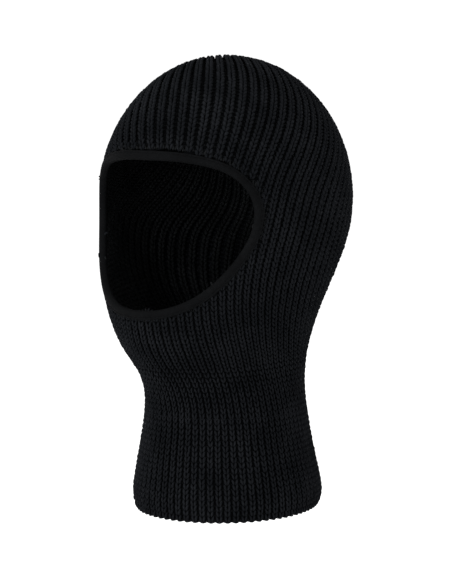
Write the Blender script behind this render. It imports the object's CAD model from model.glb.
import math

import bmesh
import bpy
import numpy as np
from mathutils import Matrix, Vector
from mathutils.bvhtree import BVHTree


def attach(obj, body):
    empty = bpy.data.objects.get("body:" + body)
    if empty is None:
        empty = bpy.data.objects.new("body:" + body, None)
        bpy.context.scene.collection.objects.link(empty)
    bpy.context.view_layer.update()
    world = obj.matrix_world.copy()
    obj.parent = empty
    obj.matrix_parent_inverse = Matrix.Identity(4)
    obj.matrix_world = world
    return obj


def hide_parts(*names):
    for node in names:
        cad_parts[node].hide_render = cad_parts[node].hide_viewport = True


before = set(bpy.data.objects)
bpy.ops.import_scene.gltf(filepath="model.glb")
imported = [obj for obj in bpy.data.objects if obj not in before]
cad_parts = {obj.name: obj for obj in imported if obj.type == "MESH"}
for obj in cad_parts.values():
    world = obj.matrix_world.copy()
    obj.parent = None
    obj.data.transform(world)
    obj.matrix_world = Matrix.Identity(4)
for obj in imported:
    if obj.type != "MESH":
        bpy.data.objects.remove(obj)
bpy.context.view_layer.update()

# ---------------------------------------------------------------- dimensions
# The same head centre, crown lean and lobe base as the CAD model, in metres.
HEAD = np.array([0.0, 0.0, 0.228])
LEAN = math.radians(40.0)
CROWN_TURN = math.radians(35.0)
LEAN_WAY = np.array([-math.sin(CROWN_TURN), math.cos(CROWN_TURN), 0.0])
LOBE_BASE = 0.082
BEND_START = 0.112          # level where the courses start to lean back
LINK_Z = 0.075              # join of neck and hood
KNIT = 0.0045               # thickness of the fabric

RIBS = 72                   # ribs round the tube
NECK_COURSE = 0.0038        # height of a course
HOOD_COURSE = 0.0036
CROWN_COURSE = 0.0036
LOBES = 4
PER_LOBE = RIBS / LOBES
FIRST_LOBE = -7.0           # rib at the middle of the back lobe

MISSED = 0.02               # a shorter radius means that the ray went out of the opening
ON_KNIT = 0.0008            # a stitch this near the CAD fabric is on it
TAPE_PRESS = 0.0045         # the binding presses the knit down within this distance

rng = np.random.default_rng(7)


def leaned(turn):
    """The three axes after leaning by an angle: across, back and up."""
    hinge = np.cross((0.0, 0.0, 1.0), LEAN_WAY)
    axes = []
    for axis in np.eye(3):
        axes.append(axis * math.cos(turn) + np.cross(hinge, axis) * math.sin(turn)
                    + hinge * (hinge @ axis) * (1 - math.cos(turn)))
    return axes


ACROSS, BACK, POLE = leaned(LEAN)


# ---------------------------------------------------------------- CAD surface
def tree_of(names):
    """One search tree over some CAD nodes, in the row frame."""
    points, faces = [], []
    for name in names:
        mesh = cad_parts[name].data
        start = len(points)
        points.extend(v.co.copy() for v in mesh.vertices)
        faces.extend([start + i for i in p.vertices] for p in mesh.polygons)
    return BVHTree.FromPolygons(points, faces)


KNITTED = ["hem_welt", "neck_knit", "neck_link", "hood_knit",
           "crown_front", "crown_back", "crown_left", "crown_right"]
knit_tree = tree_of(KNITTED)
skin_tree = tree_of(KNITTED + ["face_binding"])
tape_tree = tree_of(["face_binding"])


def outer_radius(start, way, reach=0.16):
    """Distance from an inner point to the outer face of the fabric, or 0 in the opening."""
    far = Vector(start + way * reach)
    hit = skin_tree.ray_cast(far, Vector(-way), reach)
    return reach - hit[3] if hit[0] is not None else 0.0


def bridged(radii):
    """Fills the gap that the face opening leaves in a ring of radii."""
    radii = radii.copy()
    count = len(radii)
    gap = [k for k in range(count) if radii[k] < MISSED]
    if not gap:
        return radii
    shift = next(k for k in range(count)
                 if radii[k] >= MISSED and radii[(k + 1) % count] < MISSED)
    ring = np.roll(radii, -shift)
    end = next(k for k in range(1, count)
               if ring[k] >= MISSED and ring[(k + 1) % count] >= MISSED)
    m0 = (ring[0] - ring[-3]) / 3
    m1 = (ring[(end + 3) % count] - ring[end]) / 3
    for k in range(1, end):
        t = k / end
        ring[k] = ((2 * t**3 - 3 * t**2 + 1) * ring[0] + (t**3 - 2 * t**2 + t) * m0 * end
                   + (3 * t**2 - 2 * t**3) * ring[end] + (t**3 - t**2) * m1 * end)
    return np.roll(ring, shift)


# ---------------------------------------------------------------- spine of the courses
def spine():
    """Centres and directions of the course planes, from the hem to the base of the lobes."""
    centres, ways = [], []
    count = int(round(BEND_START / NECK_COURSE))
    for k in range(count):
        centres.append((0.0, 0.0, BEND_START * k / count))
        ways.append((0.0, 0.0, 1.0))
    a = np.array([0.0, 0.0, BEND_START])
    b = HEAD + POLE * LOBE_BASE
    span = np.linalg.norm(b - a)
    m0, m1 = np.array([0.0, 0.0, 1.25 * span]), POLE * 0.85 * span
    many = int(round(span * 1.03 / HOOD_COURSE))
    for k in range(many + 1):
        t = k / many
        centres.append((2 * t**3 - 3 * t**2 + 1) * a + (t**3 - 2 * t**2 + t) * m0
                       + (3 * t**2 - 2 * t**3) * b + (t**3 - t**2) * m1)
        way = ((6 * t**2 - 6 * t) * a + (3 * t**2 - 4 * t + 1) * m0
               + (6 * t - 6 * t**2) * b + (3 * t**2 - 2 * t) * m1)
        ways.append(way / np.linalg.norm(way))
    return np.array(centres), np.array(ways)


centres, ways = spine()
COURSES = len(centres) - 1          # courses below the lobes
ANGLES = 144
ang = np.arange(ANGLES) * 2 * math.pi / ANGLES    # 0 at the back, a quarter turn at +X
rings = np.zeros((len(centres), ANGLES, 3))
for k, (c, w) in enumerate(zip(centres, ways)):
    across, back, _ = leaned(math.acos(min(1.0, w[2])))
    start = c + w * (0.0006 if k == 0 else -0.0004)
    rays = np.outer(np.sin(ang), across) + np.outer(np.cos(ang), back)
    radii = bridged(np.array([outer_radius(start, r) for r in rays]))
    rings[k] = c + rays * radii[:, None]

# Ribs sit closer over the forehead, where the binding draws the fabric in.
COLS = RIBS * 4
u_line = np.arange(COLS) / COLS
FULL_ANG = np.append(ang, 2 * math.pi)
rib_ang = np.zeros((len(centres), COLS))
for k in range(len(centres)):
    loop = np.vstack([rings[k], rings[k][:1]])
    length = np.concatenate([[0], np.cumsum(np.linalg.norm(np.diff(loop, axis=0), axis=1))])
    up = min(1.0, max(0.0, (centres[k][2] - 0.10) / 0.09))
    fade = min(1.0, (COURSES - k) / 26.0)
    pull = 0.32 * up * up * (3 - 2 * up) * fade * fade
    share = u_line + pull * np.sin(2 * math.pi * u_line) / (2 * math.pi)
    by_length = np.interp(share * length[-1], length, FULL_ANG)
    rib_ang[k] = by_length * fade + u_line * 2 * math.pi * (1 - fade)
for _ in range(24):
    rib_ang[1:-1] = (rib_ang[:-2] + 2 * rib_ang[1:-1] + rib_ang[2:]) / 4
grid = np.zeros((len(centres), COLS, 3))
for k in range(len(centres)):
    loop = np.vstack([rings[k], rings[k][:1]])
    for j in range(3):
        grid[k, :, j] = np.interp(rib_ang[k], FULL_ANG, loop[:, j])

# Crown: radius from the head centre, by share of the way out from the pole to the base line.
base_ray = rings[-1] - HEAD
base_theta = np.arccos(base_ray @ POLE / np.linalg.norm(base_ray, axis=1))
BASE_THETA = np.append(base_theta, base_theta[0])
THETA_0 = float(base_theta.mean())
TURNS, TILTS = 96, 24


def tilt_of(phi, out):
    """Angle from the pole, at an angle round it and a share of the way out to the base line."""
    return np.interp(phi % (2 * math.pi), FULL_ANG, BASE_THETA) * out


crown_r = np.zeros((TILTS + 1, TURNS))
for i in range(TILTS + 1):
    for j in range(TURNS):
        phi = 2 * math.pi * (j + 0.5) / TURNS
        theta = tilt_of(phi, min(i / TILTS, 0.998))
        side = math.sin(phi) * ACROSS + math.cos(phi) * BACK
        crown_r[i, j] = outer_radius(HEAD, POLE * math.cos(theta) + side * math.sin(theta))
CROWN_COURSES = int(round(THETA_0 * 0.107 / CROWN_COURSE))
TOTAL = COURSES + CROWN_COURSES


def crown_point(phi, out):
    """Point on the crown at an angle round the pole and a share of the way out from it."""
    i = np.clip(out * TILTS, 0, TILTS - 1e-6)
    j = (phi / (2 * math.pi) * TURNS - 0.5) % TURNS
    i0, j0 = i.astype(int), j.astype(int) % TURNS
    fi, fj = i - i0, j - j0
    j1 = (j0 + 1) % TURNS
    r = ((crown_r[i0, j0] * (1 - fj) + crown_r[i0, j1] * fj) * (1 - fi)
         + (crown_r[i0 + 1, j0] * (1 - fj) + crown_r[i0 + 1, j1] * fj) * fi)
    theta = tilt_of(phi, out)
    side = np.sin(phi)[:, None] * ACROSS + np.cos(phi)[:, None] * BACK
    return HEAD + (POLE * np.cos(theta)[:, None] + side * np.sin(theta)[:, None]) * r[:, None]


def lobe_narrow(out):
    """How far a lobe has narrowed this far out from the pole: 1 at its base, 0 at the pole."""
    t = np.clip((1 - out) / 0.45, 0, 1)
    return 1 - (1 - np.sin(THETA_0 * out) / math.sin(THETA_0)) * t * t * (3 - 2 * t)


def place(u, v, aside=None):
    """Point on the outer face: u counts ribs from the back, v counts courses from the hem.

    aside moves along a course without stopping at the edge of the rib's own lobe.
    """
    u, v = np.atleast_1d(u).astype(float), np.atleast_1d(v).astype(float)
    free = aside is not None
    off = np.full(len(u), aside if free else 0.0)
    out = np.zeros((len(u), 3))
    low = v <= COURSES
    if low.any():
        i = np.clip(v[low], 0, COURSES - 1e-6)
        j = ((u[low] + off[low]) * 4) % COLS
        i0, j0 = i.astype(int), j.astype(int) % COLS
        fi, fj = (i - i0)[:, None], (j - j0)[:, None]
        j1 = (j0 + 1) % COLS
        spot = ((grid[i0, j0] * (1 - fj) + grid[i0, j1] * fj) * (1 - fi)
                + (grid[i0 + 1, j0] * (1 - fj) + grid[i0 + 1, j1] * fj) * fi)
        under = np.minimum(v[low], 0)[:, None] * np.array([0, 0, NECK_COURSE])
        out[low] = spot + under
    high = ~low
    if high.any():
        way_out = np.clip(1 - (v[high] - COURSES) / CROWN_COURSES, 0.002, 1.0)
        turn = (u[high] - FIRST_LOBE) / PER_LOBE   # lobes counted from the back
        lobe = np.round(turn)
        s = (turn + off[high] / PER_LOBE - lobe) * 2 / lobe_narrow(way_out)
        if not free:
            s = np.clip(s, -1, 1)
        phi = (FIRST_LOBE / PER_LOBE + lobe + s / 2) * 2 * math.pi / LOBES
        out[high] = crown_point(phi, way_out)
    return out


def frame_of(u, v):
    """Point on the outer face, with unit directions along the course, up the rib and out."""
    e = 0.25
    p = place(u, v)
    a = place(u, v, e) - place(u, v, -e)
    b = place(u, np.minimum(v + e, TOTAL), 0.0) - place(u, v - e, 0.0)
    pitch = np.linalg.norm(a, axis=1) / (2 * e)
    b /= np.maximum(np.linalg.norm(b, axis=1, keepdims=True), 1e-9)
    n = np.cross(b, a)
    n /= np.maximum(np.linalg.norm(n, axis=1, keepdims=True), 1e-12)
    return p, np.cross(n, b), b, n, pitch


# ---------------------------------------------------------------- mesh helpers
def add_piece(name, points, quads, material, nodes=(), yarn=None):
    """A mesh object that rides on the body, stands for some CAD nodes and has one material."""
    mesh = bpy.data.meshes.new(name)
    mesh.vertices.add(len(points))
    mesh.vertices.foreach_set("co", np.ascontiguousarray(points, dtype=np.float32).ravel())
    mesh.loops.add(quads.size)
    mesh.loops.foreach_set("vertex_index", np.ascontiguousarray(quads, dtype=np.int32).ravel())
    mesh.polygons.add(len(quads))
    mesh.polygons.foreach_set("loop_start", np.arange(0, quads.size, 4, dtype=np.int32))
    mesh.update(calc_edges=True)
    mesh.polygons.foreach_set("use_smooth", np.ones(len(quads), dtype=bool))
    if yarn is not None:
        layer = mesh.attributes.new("yarn", "FLOAT_VECTOR", "POINT")
        layer.data.foreach_set("vector", np.ascontiguousarray(yarn, dtype=np.float32).ravel())
    mesh.materials.append(material)
    thing = bpy.data.objects.new(name, mesh)
    bpy.context.scene.collection.objects.link(thing)
    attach(thing, "root")
    if nodes:
        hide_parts(*nodes)
    return thing


def tubes(centres, normals, wide, tall, sides, closed=False):
    """Points, quads and yarn coordinates of many tubes at once.

    centres and normals are (tubes, rings, 3); wide and tall are half thicknesses, (tubes, rings).
    """
    count, rings_, _ = centres.shape
    if closed:
        along = np.roll(centres, -1, axis=1) - np.roll(centres, 1, axis=1)
    else:
        along = np.gradient(centres, axis=1)
    along /= np.maximum(np.linalg.norm(along, axis=2, keepdims=True), 1e-12)
    across = np.cross(along, normals)
    across /= np.maximum(np.linalg.norm(across, axis=2, keepdims=True), 1e-12)
    up = np.cross(across, along)
    turn = np.arange(sides) * 2 * math.pi / sides
    points = (centres[:, :, None, :]
              + wide[:, :, None, None] * np.cos(turn)[None, None, :, None] * across[:, :, None, :]
              + tall[:, :, None, None] * np.sin(turn)[None, None, :, None] * up[:, :, None, :])
    index = np.arange(count * rings_ * sides).reshape(count, rings_, sides)
    if closed:
        index = np.concatenate([index, index[:, :1]], axis=1)
    a, b = index[:, :-1], index[:, 1:]
    quads = np.stack([a, np.roll(a, -1, axis=2), np.roll(b, -1, axis=2), b], axis=-1)
    quads = quads.reshape(-1, 4)
    if not closed and sides == 6:
        ends = []
        for ring, order in ((index[:, 0], (3, 2, 1, 0)), (index[:, -1], (0, 1, 2, 3))):
            ends.append(ring[:, order])
            far = (0, 5, 4, 3) if order[0] == 3 else (0, 3, 4, 5)
            ends.append(ring[:, far])
        quads = np.concatenate([quads] + ends)
    gone = np.linalg.norm(np.diff(centres, axis=1), axis=2)
    length = np.concatenate([np.zeros((count, 1)), np.cumsum(gone, axis=1)], axis=1)
    yarn = np.zeros((count, rings_, sides, 3))
    yarn[..., 0] = length[:, :, None]
    yarn[..., 1] = np.cos(turn)
    yarn[..., 2] = np.sin(turn)
    return points.reshape(-1, 3), quads, yarn.reshape(-1, 3)


def merged(parts):
    """Several (points, quads, yarn) sets as one."""
    points, quads, yarns, start = [], [], [], 0
    for p, q, y in parts:
        points.append(p)
        quads.append(q + start)
        yarns.append(y)
        start += len(p)
    return np.concatenate(points), np.concatenate(quads), np.concatenate(yarns)


def gaps(tree, points):
    """Distance from each point to a CAD surface."""
    return np.array([tree.find_nearest(Vector(p))[3] for p in points])


# ---------------------------------------------------------------- rib columns
NECK_ROWS = int(round(BEND_START / NECK_COURSE))
LINK_V = LINK_Z / BEND_START * NECK_ROWS
HEM_V = 2.0


def on_lobe(u, v):
    """Sideways place on a lobe, from -1 to 1 between its darts; 0 below the lobes."""
    way_out = 1 - (np.asarray(v, float) - COURSES) / CROWN_COURSES
    turn = (u - FIRST_LOBE) / PER_LOBE
    s = (turn - np.round(turn)) * 2 / lobe_narrow(np.clip(way_out, 0.002, 1.0))
    return np.where(way_out < 1, s, 0.0)


def stitch_spots(u):
    """Course positions of the stitches of one rib column."""
    v = np.arange(0.0, TOTAL + 0.01, 0.25)
    p = place(np.full(len(v), u), v)
    step = np.linalg.norm(np.diff(p, axis=0), axis=1)
    middle = (v[1:] + v[:-1]) / 2
    tall = np.where(middle < COURSES, HOOD_COURSE, CROWN_COURSE)
    rows = np.where(middle < NECK_ROWS, 0.25, step / tall)
    count = np.concatenate([[0], np.cumsum(rows)])
    ends = v[np.abs(on_lobe(u, v)) <= 0.985]
    last = np.interp(ends[-1], v, count)
    at = np.arange(0.45, last, 1.0)
    return np.interp(at, count, v)


def stitch_table(half):
    """All stitches of the outer face (half 0) or the inner face (half 0.5)."""
    us, vs, rows = [], [], []
    for rib in range(RIBS):
        v = stitch_spots(rib + half)
        us.append(np.full(len(v), rib + half))
        vs.append(v)
        rows.append(np.arange(len(v)))
    u, v, row = np.concatenate(us), np.concatenate(vs), np.concatenate(rows)
    p = place(u, v)
    keep = gaps(knit_tree, p) < ON_KNIT
    u, v, row, p = u[keep], v[keep], row[keep], p[keep]
    p, a, b, n, pitch = frame_of(u, v)
    pitch = np.clip(pitch, 0.0046, 0.0092)
    tall = np.where(v < NECK_ROWS, NECK_COURSE, HOOD_COURSE)
    near = np.clip(1 - gaps(tape_tree, p) / TAPE_PRESS, 0, 1)
    near = near * near * (3 - 2 * near)
    return {"u": u, "v": v, "row": row, "p": p, "a": a, "b": b, "n": n,
            "pitch": pitch, "tall": tall, "near": near}


# One leg of a stitch: across (share of the rib), along (courses), depth and thickness (mm).
LEG = np.array([
    (0.085, -0.10, 2.00, 0.40),
    (0.115, 0.14, 1.12, 0.68),
    (0.165, 0.40, 0.80, 0.88),
    (0.215, 0.66, 0.82, 0.90),
    (0.262, 0.92, 1.15, 0.74),
    (0.295, 1.15, 1.95, 0.46),
])
INNER_LEG = LEG[[0, 2, 3, 5]]


def legs(table, pick, shape, sides, inner):
    """Leg tubes of the picked stitches."""
    t = {key: value[pick] for key, value in table.items()}
    count = len(t["u"])
    if count == 0:
        return []
    out = []
    rib = 0.25 + 0.75 * t["pitch"] / 0.0056
    taut = np.clip(1 - np.abs(t["p"][:, 2] - 0.092) / 0.022, 0, 1)[:, None]
    in_neck = np.clip((LINK_V - t["v"]) / 3 + 0.5, 0, 1)
    for side in (-1, 1):
        wobble = rng.normal(0, 1, (count, 4))
        across = side * shape[None, :, 0] * 0.0056 * rib[:, None]
        across = across + 0.00012 * wobble[:, :1]
        along = shape[None, :, 1] * t["tall"][:, None] * (1 + 0.05 * wobble[:, 1:2])
        bulge = 0.00022 * in_neck[:, None] * np.sin(np.pi * np.clip(shape[None, :, 1], 0, 1))
        dive = shape[None, :, 2] * (1 - 0.45 * taut) + 0.42 * taut
        depth = -dive * 0.001 + bulge + 0.00011 * wobble[:, 2:3]
        if inner:
            depth = -KNIT - depth
        depth = depth - 0.0012 * t["near"][:, None] * (-1 if inner else 1)
        thick = shape[None, :, 3] * (1 - 0.1 * taut) * 0.001 * rib[:, None]
        thick = thick * (1 + 0.06 * wobble[:, 3:4])
        centre = (t["p"][:, None, :] + across[:, :, None] * t["a"][:, None, :]
                  + along[:, :, None] * t["b"][:, None, :] + depth[:, :, None] * t["n"][:, None, :])
        normal = np.repeat(t["n"][:, None, :], len(shape), axis=1)
        out.append(tubes(centre, normal, thick, thick * 0.92, sides))
    return out


# ---------------------------------------------------------------- materials
def new_material(name):
    material = bpy.data.materials.new(name)
    material.use_nodes = True
    tree = material.node_tree
    tree.nodes.clear()
    out = tree.nodes.new("ShaderNodeOutputMaterial")
    shader = tree.nodes.new("ShaderNodeBsdfPrincipled")
    tree.links.new(shader.outputs["BSDF"], out.inputs["Surface"])
    return material, tree, shader


def node(tree, kind, links=(), **values):
    """A node with some inputs set and some linked: links are (input, socket)."""
    made = tree.nodes.new(kind)
    for key, value in values.items():
        if key.startswith("_"):
            made.inputs[key[1:].replace("_", " ")].default_value = value
        else:
            setattr(made, key, value)
    for key, socket in links:
        tree.links.new(socket, made.inputs[key])
    return made


def wool(name, dark, light, rough, sheen, twist, fibre):
    """Matt spun yarn: flecked colour, plied twist and loose fibres."""
    material, tree, shader = new_material(name)
    spot = node(tree, "ShaderNodeTexCoord").outputs["Object"]
    fleck = node(tree, "ShaderNodeTexNoise", [("Vector", spot)], _Scale=420.0, _Detail=3.0)
    patch = node(tree, "ShaderNodeTexNoise", [("Vector", spot)], _Scale=38.0, _Detail=2.0)
    both = node(tree, "ShaderNodeMath", [(0, fleck.outputs["Fac"]), (1, patch.outputs["Fac"])],
                operation="MULTIPLY")
    ramp = node(tree, "ShaderNodeValToRGB", [("Fac", both.outputs[0])])
    ramp.color_ramp.elements[0].position = 0.12
    ramp.color_ramp.elements[0].color = (*dark, 1)
    ramp.color_ramp.elements[1].position = 0.42
    ramp.color_ramp.elements[1].color = (*light, 1)
    tree.links.new(ramp.outputs["Color"], shader.inputs["Base Color"])
    worn = node(tree, "ShaderNodeMapRange", [("Value", fleck.outputs["Fac"])],
                _From_Min=0.3, _From_Max=0.7, _To_Min=rough - 0.08, _To_Max=min(1.0, rough + 0.06))
    tree.links.new(worn.outputs[0], shader.inputs["Roughness"])
    shader.inputs["Specular IOR Level"].default_value = 0.02
    shader.inputs["Sheen Weight"].default_value = sheen
    shader.inputs["Sheen Roughness"].default_value = 0.55
    shader.inputs["Sheen Tint"].default_value = (0.55, 0.58, 0.62, 1)
    yarn = node(tree, "ShaderNodeAttribute", attribute_name="yarn")
    parts = node(tree, "ShaderNodeSeparateXYZ", [("Vector", yarn.outputs["Vector"])])
    around = node(tree, "ShaderNodeMath", [(0, parts.outputs["Z"]), (1, parts.outputs["Y"])],
                  operation="ARCTAN2")
    along = node(tree, "ShaderNodeMath", [(0, parts.outputs["X"])], operation="MULTIPLY")
    along.inputs[1].default_value = twist
    phase = node(tree, "ShaderNodeMath", [(0, around.outputs[0]), (1, along.outputs[0])],
                 operation="ADD")
    double = node(tree, "ShaderNodeMath", [(0, phase.outputs[0])], operation="MULTIPLY")
    double.inputs[1].default_value = 2.0
    ply = node(tree, "ShaderNodeMath", [(0, double.outputs[0])], operation="SINE")
    fibres = node(tree, "ShaderNodeTexNoise", [("Vector", spot)], _Scale=fibre, _Detail=4.0,
                  _Roughness=0.7)
    first = node(tree, "ShaderNodeBump", [("Height", ply.outputs[0])], _Strength=0.5,
                 _Distance=0.00018)
    second = node(tree, "ShaderNodeBump", [("Height", fibres.outputs["Fac"]),
                                           ("Normal", first.outputs["Normal"])],
                  _Strength=0.6, _Distance=0.0005)
    tree.links.new(second.outputs["Normal"], shader.inputs["Normal"])
    return material


KNIT_YARN = wool("knit_yarn", (0.0028, 0.0032, 0.0039), (0.0070, 0.0076, 0.0089), 0.92, 0.0,
                 2400.0, 1500.0)
INNER_YARN = wool("inner_yarn", (0.0034, 0.0037, 0.0040), (0.0086, 0.0092, 0.0098), 0.92, 0.0,
                  2400.0, 1500.0)
GROUND = wool("knit_ground", (0.0006, 0.0007, 0.0009), (0.0016, 0.0018, 0.0021), 0.95, 0.0,
              2400.0, 1500.0)
TAPE = wool("binding_tape", (0.0016, 0.0017, 0.0019), (0.0031, 0.0033, 0.0036), 0.85, 0.0,
            0.0, 2600.0)
THREAD = wool("seam_thread", (0.0018, 0.0019, 0.0022), (0.0044, 0.0047, 0.0052), 0.78, 0.0,
              5200.0, 2600.0)

# ---------------------------------------------------------------- knitted pieces
outer = stitch_table(0.0)
inner = stitch_table(0.5)


def shares(table):
    """Which stitches belong to which piece: (name, mask, CAD nodes)."""
    u, v = table["u"] % RIBS, table["v"]
    hem = v < HEM_V
    neck = (v >= HEM_V) & (v < LINK_V)
    hood = (v >= LINK_V) & (v <= COURSES)
    crown = v > COURSES
    lobe = np.round((u - FIRST_LOBE) / PER_LOBE).astype(int) % LOBES
    quarter = (u * 4 // RIBS).astype(int)
    rows = [("hem_welt", hem, ["hem_welt"]), ("neck_knit", neck, ["neck_knit"])]
    for k, name in enumerate(("back_left", "front_left", "front_right", "back_right")):
        rows.append(("hood_knit_" + name, hood & (quarter == k), ["hood_knit"]))
    for k, name in enumerate(("crown_back", "crown_left", "crown_front", "crown_right")):
        rows.append((name, crown & (lobe == k), [name]))
    return rows


for (name, mask, nodes), (_, mask_in, _) in zip(shares(outer), shares(inner)):
    face = merged(legs(outer, mask, LEG, 6, False))
    add_piece(name + "_face", face[0], face[1], KNIT_YARN,
                                 nodes, face[2])
    lining = merged(legs(inner, mask_in, INNER_LEG, 5, True))
    add_piece(name + "_inside", lining[0], lining[1], INNER_YARN,
                                 nodes, lining[2])


# Dark ground between the ribs: the loops that join the outer ribs to the inner ones.
def ground():
    """Thin corrugated sheet half way through the fabric, cut at the opening and the darts."""
    per = 4
    us = np.arange(RIBS * per) / per
    vs = np.arange(0.3, TOTAL - 0.2, 1.0)
    u, v = np.meshgrid(us, vs)
    u, v = u.ravel(), v.ravel()
    p, _, _, n, _ = frame_of(u, v)
    near = np.clip(1 - gaps(tape_tree, p) / TAPE_PRESS, 0, 1)
    wave = np.cos(2 * math.pi * u)
    depth = -KNIT / 2 + 0.0006 * wave * (1 - near)
    spots = p + depth[:, None] * n
    keep = (gaps(knit_tree, p) < ON_KNIT).reshape(len(vs), len(us))
    index = np.arange(len(u)).reshape(len(vs), len(us))
    index = np.concatenate([index, index[:, :1]], axis=1)
    keep = np.concatenate([keep, keep[:, :1]], axis=1)
    quads = np.stack([index[:-1, :-1], index[1:, :-1], index[1:, 1:], index[:-1, 1:]], axis=-1)
    good = keep[:-1, :-1] & keep[1:, :-1] & keep[1:, 1:] & keep[:-1, 1:]
    quads = quads[good]
    used = np.unique(quads)
    renumber = np.zeros(len(u), dtype=int)
    renumber[used] = np.arange(len(used))
    yarn = np.zeros((len(used), 3))
    yarn[:, 1] = 1.0
    return spots[used], renumber[quads], yarn


ground_set = ground()
knit_ground = add_piece("knit_ground", ground_set[0], ground_set[1], GROUND, (),
                        ground_set[2])


def ring_yarn(name, v, depths, width, material, nodes, per=16, sides=8):
    """A yarn that goes once round the tube and waves with the ribs."""
    u = np.arange(RIBS * per) / per
    wave = np.cos(2 * math.pi * u)
    p, _, _, n, _ = frame_of(u, np.full(len(u), v))
    depth = depths[0] + (depths[1] - depths[0]) * (0.5 - 0.5 * wave)
    centre = (p - depth[:, None] * n)[None]
    size = np.full((1, len(u)), width)
    made = tubes(centre, n[None], size, size, sides, closed=True)
    return add_piece(name, made[0], made[1], material, nodes, made[2])


ring_yarn("hem_edge", 0.28, (0.0013, 0.0033), 0.00095, KNIT_YARN, ["hem_welt"])
ring_yarn("link_row", LINK_V, (0.0010, 0.0030), 0.00062, KNIT_YARN, ["neck_link"])
ring_yarn("link_row_inside", LINK_V, (0.0018, 0.0036), 0.00062, INNER_YARN, ["neck_link"])


# ---------------------------------------------------------------- binding
TAPE_AXIS = np.array([0.0, -0.028])        # the opening fans out from this upright line
EYE_Z = 0.212               # level of the middle of the opening
JOIN_TURN = math.radians(200.0)            # direction of the tape's join, from that middle
BINS = 240


def tape_hit(turn, reach):
    """First hit from outside, at a direction and distance from the middle of the opening."""
    beta = reach * math.cos(turn) / 0.079
    way = np.array([math.sin(beta), -math.cos(beta), 0.0])
    start = np.array([TAPE_AXIS[0], TAPE_AXIS[1], EYE_Z + reach * math.sin(turn)]) + way * 0.13
    hit = tape_tree.ray_cast(Vector(start), Vector(-way), 0.095)
    return None if hit[0] is None else np.array(hit[0])


def tape_rails():
    """Inner (rim) and outer rails of the binding on its front face."""
    rim, edge = [], []
    for k in range(BINS):
        turn = 2 * math.pi * k / BINS
        reach = 0.02
        while tape_hit(turn, reach) is None and reach < 0.14:
            reach += 0.002
        low, high = reach - 0.002, reach
        for _ in range(9):
            middle = (low + high) / 2
            low, high = (low, middle) if tape_hit(turn, middle) is not None else (middle, high)
        near, far = tape_hit(turn, high + 0.0008), tape_hit(turn, high + 0.0024)
        rim.append(near - (far - near) * 0.5)
        low = high + 0.0015
        high = low
        while tape_hit(turn, high) is not None and high < low + 0.02:
            high += 0.001
        low = high - 0.001
        for _ in range(8):
            middle = (low + high) / 2
            low, high = (middle, high) if tape_hit(turn, middle) is not None else (low, middle)
        near, far = tape_hit(turn, low - 0.0008), tape_hit(turn, low - 0.0024)
        edge.append(near - (far - near) * 0.5)
    return np.array(rim), np.array(edge)


def smooth_ring(points, rounds):
    for _ in range(rounds):
        points = (np.roll(points, 1, axis=0) + 2 * points + np.roll(points, -1, axis=0)) / 4
    return points


rim_rail, edge_rail = tape_rails()
rim_rail, edge_rail = smooth_ring(rim_rail, 6), smooth_ring(edge_rail, 6)


def even_ring(points, other, count):
    """Both rails resampled to even steps along the first."""
    loop = np.vstack([points, points[:1]])
    pair = np.vstack([other, other[:1]])
    length = np.concatenate([[0], np.cumsum(np.linalg.norm(np.diff(loop, axis=0), axis=1))])
    at = np.linspace(0, length[-1], count, endpoint=False)
    first = np.stack([np.interp(at, length, loop[:, j]) for j in range(3)], axis=1)
    second = np.stack([np.interp(at, length, pair[:, j]) for j in range(3)], axis=1)
    return first, second, length[-1]


RIM_STEPS = 720
rim_rail, edge_rail, RIM_LENGTH = even_ring(rim_rail, edge_rail, RIM_STEPS)
tape_along = np.roll(rim_rail, -2, axis=0) - np.roll(rim_rail, 2, axis=0)
tape_along /= np.linalg.norm(tape_along, axis=1, keepdims=True)
tape_across = smooth_ring(edge_rail - rim_rail, 4)
TAPE_WIDE = np.linalg.norm(tape_across, axis=1)
tape_across /= TAPE_WIDE[:, None]
tape_normal = np.cross(tape_across, tape_along)
if (tape_normal[RIM_STEPS // 4] @ np.array([0, -1, 0])) < 0:
    tape_normal = -tape_normal
tape_normal /= np.linalg.norm(tape_normal, axis=1, keepdims=True)

# Section of the folded tape: share of its width from the rim, and height over its face (mm).
TAPE_DEEP = 5.9             # face to face, in mm
SECTION_FRONT = [
    (0.96, -1.30), (0.97, -0.85), (0.93, -0.45), (0.88, -0.22), (0.82, -0.16), (0.775, -0.24),
    (0.745, -0.34), (0.72, -0.38), (0.69, -0.34), (0.64, -0.20), (0.53, -0.06), (0.40, -0.06),
    (0.27, -0.20), (0.16, -0.52), (0.07, -1.05), (0.02, -1.80),
]
SECTION = (SECTION_FRONT + [(-0.01, -TAPE_DEEP / 2)]
           + [(share, -TAPE_DEEP - height) for share, height in reversed(SECTION_FRONT)])
STITCH_SHARE = 0.72         # place of the stitch line, from the rim
LOCK_STITCH = 0.0030        # length of a lock stitch


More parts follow.
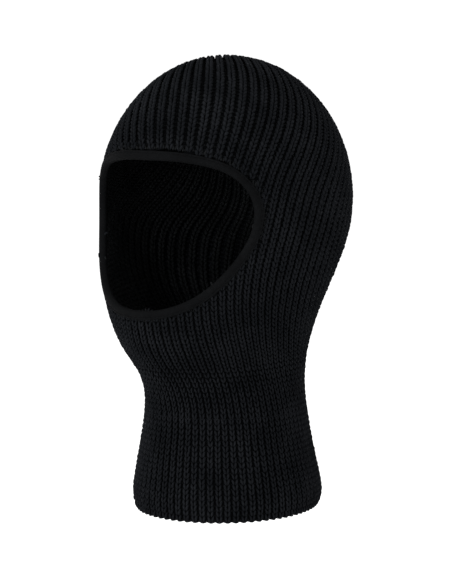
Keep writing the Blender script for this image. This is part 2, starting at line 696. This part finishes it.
def tape():
    """The binding as one closed strip folded over the edge of the knit."""
    section = np.array(SECTION)
    soft = rng.normal(0, 1, (RIM_STEPS, 3))
    soft = smooth_ring(soft, 400) * 4.0
    puff = 1 + 0.10 * soft[:, 0]
    share = section[:, 0][None, :] * (1 + 0.01 * soft[:, 1][:, None])
    lift = section[:, 1][None, :] + 0.10 * (puff[:, None] - 1)
    points = (rim_rail[:, None, :] + (share * TAPE_WIDE[:, None])[:, :, None] * tape_across[:, None, :]
              + (lift * 0.001)[:, :, None] * tape_normal[:, None, :])
    rows, cols = len(rim_rail), len(section)
    index = np.arange(rows * cols).reshape(rows, cols)
    index = np.concatenate([index, index[:1]], axis=0)
    index = np.concatenate([index, index[:, :1]], axis=1)
    quads = np.stack([index[:-1, :-1], index[1:, :-1], index[1:, 1:], index[:-1, 1:]], axis=-1)
    yarn = np.zeros((rows, cols, 3))
    yarn[..., 0] = (np.arange(rows) * RIM_LENGTH / rows)[:, None]
    yarn[..., 1] = section[:, 0][None, :]
    yarn[..., 2] = section[:, 1][None, :]
    return points.reshape(-1, 3), quads.reshape(-1, 4), yarn.reshape(-1, 3)


tape_set = tape()
add_piece("binding_tape", tape_set[0], tape_set[1], TAPE, ["face_binding"],
          tape_set[2])


def tape_point(step, share, height):
    """Points over the tape, by step along the rim, share of its width and height in mm."""
    step = np.asarray(step, float)
    i = np.floor(step).astype(int) % RIM_STEPS
    j = (i + 1) % RIM_STEPS
    f = (step - np.floor(step))[..., None]
    mix = lambda rail: rail[i] * (1 - f) + rail[j] * f
    wide = (TAPE_WIDE[i][..., None] * (1 - f) + TAPE_WIDE[j][..., None] * f)
    return (mix(rim_rail) + np.asarray(share)[..., None] * wide * mix(tape_across)
            + np.asarray(height)[..., None] * 0.001 * mix(tape_normal)), mix(tape_normal)


def stitch_line(name, node_name, base, sign):
    """Lock stitches in the groove of the tape, on one face."""
    count = int(RIM_LENGTH / LOCK_STITCH)
    rings_ = 7
    start = np.arange(count) * RIM_STEPS / count
    t = np.linspace(0, 1, rings_)
    step = start[:, None] + t[None, :] * RIM_STEPS / count * 0.94
    height = base + sign * (0.34 * np.sin(np.pi * t) ** 0.7 - 0.30)
    share = STITCH_SHARE + 0.012 * np.sin(2 * np.pi * t)[None, :]
    share = share + 0.008 * rng.normal(0, 1, (count, 1))
    centre, normal = tape_point(step, np.broadcast_to(share, step.shape),
                                np.broadcast_to(height, step.shape))
    thick = np.broadcast_to(0.00030 * (0.55 + 0.45 * np.sin(np.pi * t)), step.shape)
    made = tubes(centre, normal, thick, thick, 6)
    return add_piece(name, made[0], made[1], THREAD, [node_name], made[2])


stitch_line("lock_stitches_outside", "stitch_outside", -0.30, 1)
stitch_line("lock_stitches_inside", "stitch_inside", -TAPE_DEEP + 0.30, -1)


def join_tack():
    """Zigzag bar tack over the join of the tape."""
    turns = np.arctan2(rim_rail[:, 2] - EYE_Z, rim_rail[:, 0])
    middle = int(np.argmin(np.abs(np.angle(np.exp(1j * (turns - JOIN_TURN))))))
    passes = 22
    t = np.linspace(0, 1, passes * 6 + 1)
    zig = np.abs(((t * passes) % 2) - 1) * 2 - 1
    step = middle + zig * 0.0011 / (RIM_LENGTH / RIM_STEPS)
    share = 0.14 + 0.76 * t
    groove = 0.22 * np.exp(-((share - STITCH_SHARE) / 0.05) ** 2)
    height = 0.12 - 0.8 * np.clip((0.30 - share) / 0.30, 0, 1) ** 2 - groove
    centre, normal = tape_point(step, share, height)
    thick = np.full((1, len(t)), 0.00030)
    made = tubes(centre[None], normal[None], thick, thick, 6)
    return add_piece("bar_tack", made[0], made[1], THREAD, ["binding_join"], made[2])


join_tack()


# ---------------------------------------------------------------- inner seams
WIND = 0.0024               # the seam thread goes once round in this length


def seam(node_name, u, v, wide=0.0017, proud=0.0012):
    """Overlocked seam on the inner face: a padded ridge and the thread wound over it."""
    fine = np.linspace(0, 1, 400)
    us = np.interp(fine, np.linspace(0, 1, len(u)), u)
    vs = np.interp(fine, np.linspace(0, 1, len(v)), v)
    p = place(us, vs)
    length = np.concatenate([[0], np.cumsum(np.linalg.norm(np.diff(p, axis=0), axis=1))])
    steps = int(length[-1] / 0.0008)
    at = np.linspace(0, length[-1], steps)
    us, vs = np.interp(at, length, us), np.interp(at, length, vs)
    p = np.stack([np.interp(at, length, p[:, j]) for j in range(3)], axis=1)
    along = np.gradient(p, axis=0)
    along /= np.linalg.norm(along, axis=1, keepdims=True)
    out = p - (HEAD if vs.mean() > NECK_ROWS else np.array([0, 0, 1]) * p[:, 2:3])
    n = out - (out * along).sum(axis=1, keepdims=True) * along
    n /= np.linalg.norm(n, axis=1, keepdims=True)
    core = p - (KNIT + proud * 0.55) * n
    lump = 1 + 0.07 * np.sin(at / WIND * 2 * math.pi)
    ridge = tubes(core[None], n[None], (wide * lump)[None], (proud * lump)[None], 8)
    turns = length[-1] / WIND
    many = int(turns * 14)
    s = np.linspace(0, 1, many)
    i = s * (steps - 1)
    c = np.stack([np.interp(i, np.arange(steps), core[:, j]) for j in range(3)], axis=1)
    m = np.stack([np.interp(i, np.arange(steps), n[:, j]) for j in range(3)], axis=1)
    a = np.stack([np.interp(i, np.arange(steps), along[:, j]) for j in range(3)], axis=1)
    side = np.cross(a, m)
    spin = s * turns * 2 * math.pi
    path = (c + (wide + 0.0002) * np.cos(spin)[:, None] * side
            + (proud + 0.0002) * np.sin(spin)[:, None] * m)
    size = np.full((1, many), 0.00026)
    wrap = tubes(path[None], m[None], size, size, 5)
    made = merged([ridge, wrap])
    return add_piece(node_name + "_thread", made[0], made[1], THREAD, [node_name],
                     made[2])


seam("back_seam_neck", [0, 0], [1.2, LINK_V - 0.4])
seam("back_seam_hood", [0, 0], [LINK_V + 0.6, COURSES])

DARTS = {"dart_back_left": 0.5, "dart_front_left": 1.5, "dart_front_right": 2.5,
         "dart_back_right": 3.5}
for name, lobe in DARTS.items():
    rib = FIRST_LOBE + lobe * PER_LOBE - 1e-6
    seam(name, [rib, rib], [COURSES + 0.3, TOTAL - 0.9])


def tack():
    """Crossed thread bars that close the point where the darts meet."""
    bars = []
    for k in range(9):
        turn = k * 2.399
        reach = 0.0030 + 0.0006 * math.sin(3 * k)
        t = np.linspace(-1, 1, 9)
        flat = math.sin(turn) * ACROSS + math.cos(turn) * BACK
        top = place(np.array([FIRST_LOBE]), np.array([TOTAL - 0.2]))[0]
        for level, size in ((-0.0006, 0.00034), (-KNIT - 0.0016, 0.00045)):
            lift = level + (0.0009 if level > -0.002 else -0.0009) * (1 - t**2)
            path = top + (t * reach)[:, None] * flat + lift[:, None] * POLE
            normal = np.repeat(POLE[None, :], 9, axis=0)
            thick = np.full((1, 9), size)
            bars.append(tubes(path[None], normal[None], thick, thick, 6))
    made = merged(bars)
    return add_piece("crown_tack_thread", made[0], made[1], THREAD, ["crown_tack"],
                     made[2])


tack()

# ---------------------------------------------------------------- floor, light and camera
FLOOR_Z = -0.10
mesh = bpy.data.meshes.new("floor")
build = bmesh.new()
bmesh.ops.create_grid(build, x_segments=8, y_segments=8, size=30.0)
build.to_mesh(mesh)
build.free()
floor = bpy.data.objects.new("floor", mesh)
floor.location.z = FLOOR_Z
bpy.context.scene.collection.objects.link(floor)
white, _, white_shader = new_material("floor_white")
white_shader.inputs["Base Color"].default_value = (0.93, 0.93, 0.93, 1)
white_shader.inputs["Roughness"].default_value = 0.9
white_shader.inputs["Specular IOR Level"].default_value = 0.0
mesh.materials.append(white)

scene = bpy.context.scene
scene.view_settings.view_transform = "Standard"
scene.view_settings.look = "None"
world = bpy.data.worlds.new("studio")
scene.world = world
world.use_nodes = True
world.node_tree.nodes["Background"].inputs["Color"].default_value = (1, 1, 1, 1)
world.node_tree.nodes["Background"].inputs["Strength"].default_value = 1.15


def softbox(name, place_at, aim, size, power):
    light = bpy.data.lights.new(name, "AREA")
    light.shape = "RECTANGLE"
    light.size, light.size_y = size
    light.energy = power
    lamp = bpy.data.objects.new(name, light)
    lamp.location = place_at
    lamp.rotation_euler = (Vector(aim) - Vector(place_at)).to_track_quat("-Z", "Y").to_euler()
    scene.collection.objects.link(lamp)


softbox("key", (-1.1, -1.7, 1.1), (0, 0, 0.2), (0.8, 0.8), 26.0)
softbox("front", (0.35, -2.1, 0.42), (0, 0, 0.2), (0.5, 0.4), 24.0)
softbox("fill", (1.8, -0.6, 1.4), (0, 0, 0.2), (1.2, 1.2), 8.0)
softbox("rear", (0.3, 1.7, 1.6), (0, 0, 0.25), (1.2, 1.0), 6.0)

# The camera looks slightly down at the front and the wearer's left side.
CAMERA_TURN, CAMERA_UP = math.radians(34.0), math.radians(6.6)
CAMERA_AWAY = 1.75
aim = Vector((0.0, 0.0, 0.1595))
camera_data = bpy.data.cameras.new("camera")
camera_data.sensor_fit = "AUTO"
camera_data.sensor_width = 36.0
camera_data.lens = 146.8
camera_data.clip_start, camera_data.clip_end = 0.05, 100.0
camera = bpy.data.objects.new("camera", camera_data)
way = Vector((math.sin(CAMERA_TURN) * math.cos(CAMERA_UP),
              -math.cos(CAMERA_TURN) * math.cos(CAMERA_UP), math.sin(CAMERA_UP)))
camera.location = aim + way * CAMERA_AWAY
camera.rotation_euler = (-way).to_track_quat("-Z", "Y").to_euler()
scene.collection.objects.link(camera)
scene.camera = camera

bpy.context.view_layer.update()
